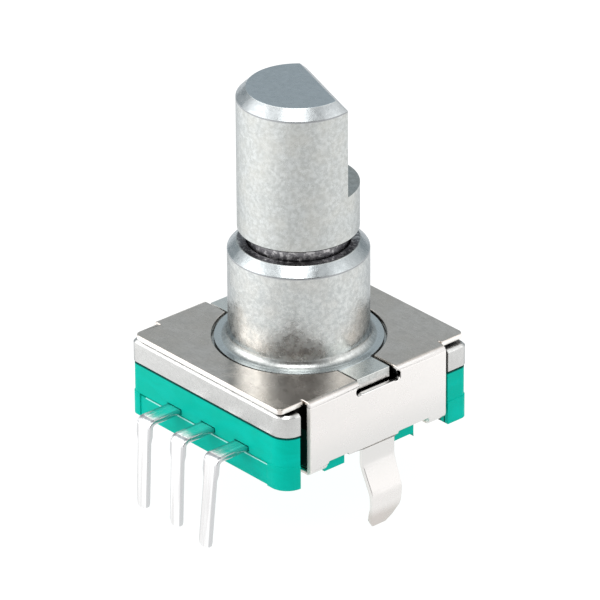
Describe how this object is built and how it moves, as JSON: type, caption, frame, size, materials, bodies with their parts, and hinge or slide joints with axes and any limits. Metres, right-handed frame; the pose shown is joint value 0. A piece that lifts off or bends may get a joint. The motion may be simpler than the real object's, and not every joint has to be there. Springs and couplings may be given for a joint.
{
  "type": "rotary encoder",
  "caption": "Low-profile incremental rotary encoder with a stepped D shaft, smooth bushing, folded metal cover with snap-in lugs and a moulded base with board terminals.",
  "frame": {"origin": "on the shaft's axis at the face that sits on the circuit board", "axes": "+Z along the shaft away from the board, -Y towards the terminals, +X and -X towards the board lugs"},
  "size_m": [0.013, 0.0145, 0.0218],
  "materials": {
    "shaft": "as-cast satin, plated",
    "bushing": "as-cast satin, plated",
    "cover": "nickel-plated sheet",
    "base": "moulded",
    "terminal_a": "tin-plated",
    "terminal_common": "tin-plated",
    "terminal_b": "tin-plated",
    "retaining_clip": "spring steel",
    "detent_spring": "spring steel",
    "rotor": "moulded",
    "code_disc": "stamped",
    "wiper_a": "phosphor bronze",
    "wiper_common": "phosphor bronze",
    "wiper_b": "phosphor bronze"
  },
  "bodies": {
    "housing": {"bushing": "bushing", "cover": "cover", "base": "base", "terminal_a": "terminal_a", "terminal_common": "terminal_common", "terminal_b": "terminal_b", "wiper_a": "wiper_a", "wiper_common": "wiper_common", "wiper_b": "wiper_b", "detent_spring": "detent_spring"},
    "spindle": {"shaft": "shaft", "retaining_clip": "retaining_clip", "rotor": "rotor", "code_disc": "code_disc"}
  },
  "joints": [
    {"name": "turn", "type": "hinge", "parent": "housing", "child": "spindle", "pos_m": [0, 0, 0], "axis": [0, 0, 1], "continuous": true}
  ]
}
